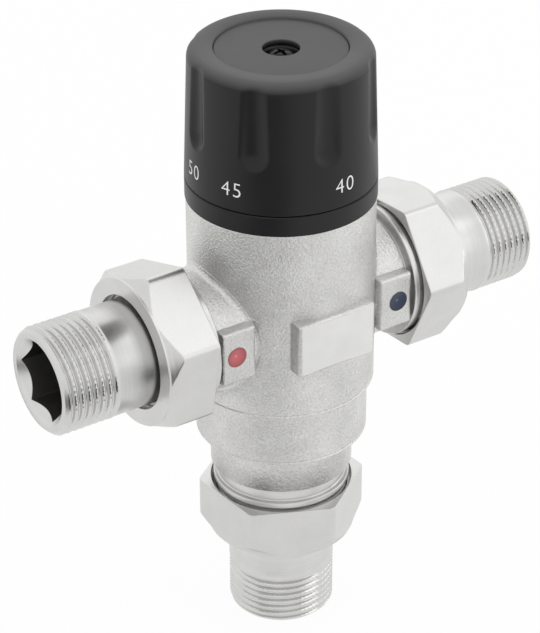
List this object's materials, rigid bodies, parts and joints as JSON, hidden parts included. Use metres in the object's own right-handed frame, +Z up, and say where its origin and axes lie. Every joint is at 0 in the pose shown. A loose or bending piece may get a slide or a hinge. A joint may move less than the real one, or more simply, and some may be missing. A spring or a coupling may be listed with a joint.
{
  "type": "thermostatic mixing valve",
  "caption": "Upright brass mixing valve with a fluted temperature knob, opposed hot and cold inlets and a lower outlet, each ending in a threaded union.",
  "frame": {"origin": "on the mixed outlet's axis, halfway along its pipe thread", "axes": "+Z up along the barrel and the knob's axis, X along the two inlets with cold at +X and hot at -X, -Y to the marked front"},
  "size_m": [0.1348, 0.047, 0.1555],
  "materials": {
    "nickel_body": "nickel plated over a blasted forging",
    "brass_inner": "turned",
    "black_plastic": "fine moulded grain",
    "nickel_nut": "nickel plated, turned and milled",
    "turned_tail": "nickel plated, turned",
    "black_rubber": "satin",
    "fibre_gasket": "dull",
    "grey_plastic": "moulded",
    "shuttle_plastic": "moulded",
    "copper_capsule": "drawn",
    "steel": "stainless",
    "dark_screw": "black zinc"
  },
  "bodies": {
    "valve": {"valve_body": "nickel_body", "bonnet": "brass_inner", "bonnet_seal": "black_rubber", "index_ring": "black_plastic", "hot_check_cage": "grey_plastic", "cold_check_cage": "grey_plastic", "hot_strainer": "steel", "cold_strainer": "steel", "hot_check_spring": "steel", "cold_check_spring": "steel", "return_spring": "steel"},
    "knob_and_spindle": {"knob": "black_plastic", "knob_cap_disc": "black_plastic", "knob_screw": "dark_screw", "spindle": "brass_inner", "spindle_seal": "black_rubber", "spindle_clip": "steel"},
    "carrier_unit": {"carrier": "brass_inner", "overload_clip": "steel", "overload_spring": "steel"},
    "overload_unit": {"overload_cap": "brass_inner", "element_pin": "steel"},
    "shuttle_unit": {"shuttle": "shuttle_plastic", "shuttle_seal": "black_rubber", "wax_element": "copper_capsule"},
    "hot_poppet": {"hot_check_poppet": "grey_plastic"},
    "cold_poppet": {"cold_check_poppet": "grey_plastic"},
    "hot_tail": {"hot_tailpiece": "turned_tail", "hot_gasket": "fibre_gasket"},
    "cold_tail": {"cold_tailpiece": "turned_tail", "cold_gasket": "fibre_gasket"},
    "outlet_tail": {"outlet_tailpiece": "turned_tail", "outlet_gasket": "fibre_gasket"},
    "hot_nut": {"hot_union_nut": "nickel_nut"},
    "cold_nut": {"cold_union_nut": "nickel_nut"},
    "outlet_nut": {"outlet_union_nut": "nickel_nut"}
  },
  "joints": [
    {"name": "knob_turn", "type": "hinge", "parent": "valve", "child": "knob_and_spindle", "pos_m": [0, 0, 0.1153], "axis": [0, 0, 1], "range_deg": [-150, 150]},
    {"name": "carrier_lift", "type": "slide", "parent": "valve", "child": "carrier_unit", "axis": [0, 0, 1], "range_m": [-0.00083, 0.00083]},
    {"name": "overload_give", "type": "slide", "parent": "carrier_unit", "child": "overload_unit", "axis": [0, 0, 1], "range_m": [0, 0.001], "stiffness_N_per_m": 5000, "springref_m": -0.006, "deforming": ["overload_spring"]},
    {"name": "element_stroke", "type": "slide", "parent": "overload_unit", "child": "shuttle_unit", "axis": [0, 0, -1], "range_m": [0, 0.0014], "stiffness_N_per_m": 2000, "springref_m": -0.008, "deforming": ["return_spring"]},
    {"name": "hot_check_open", "type": "slide", "parent": "valve", "child": "hot_poppet", "axis": [1, 0, 0], "range_m": [0, 0.003], "stiffness_N_per_m": 60, "springref_m": -0.003, "deforming": ["hot_check_spring"]},
    {"name": "cold_check_open", "type": "slide", "parent": "valve", "child": "cold_poppet", "axis": [-1, 0, 0], "range_m": [0, 0.003], "stiffness_N_per_m": 60, "springref_m": -0.003, "deforming": ["cold_check_spring"]},
    {"name": "hot_tail_slide", "type": "slide", "parent": "valve", "child": "hot_tail", "axis": [-1, 0, 0], "range_m": [0, 0.006]},
    {"name": "hot_nut_turn", "type": "hinge", "parent": "hot_tail", "child": "hot_nut", "pos_m": [-0.0365, 0, 0.0798], "axis": [-1, 0, 0], "range_deg": [0, 936]},
    {"name": "cold_tail_slide", "type": "slide", "parent": "valve", "child": "cold_tail", "axis": [1, 0, 0], "range_m": [0, 0.006]},
    {"name": "cold_nut_turn", "type": "hinge", "parent": "cold_tail", "child": "cold_nut", "pos_m": [0.0365, 0, 0.0798], "axis": [1, 0, 0], "range_deg": [0, 936]},
    {"name": "outlet_tail_slide", "type": "slide", "parent": "valve", "child": "outlet_tail", "axis": [0, 0, -1], "range_m": [0, 0.006]},
    {"name": "outlet_nut_turn", "type": "hinge", "parent": "outlet_tail", "child": "outlet_nut", "pos_m": [0, 0, 0.0232], "axis": [0, 0, -1], "range_deg": [0, 936]}
  ],
  "couplings": [
    {"joint": "knob_turn", "follows": "carrier_lift", "rad_per_m": 3141.6},
    {"joint": "hot_nut_turn", "follows": "hot_tail_slide", "rad_per_m": 2721.2},
    {"joint": "cold_nut_turn", "follows": "cold_tail_slide", "rad_per_m": 2721.2},
    {"joint": "outlet_nut_turn", "follows": "outlet_tail_slide", "rad_per_m": 2721.2}
  ]
}
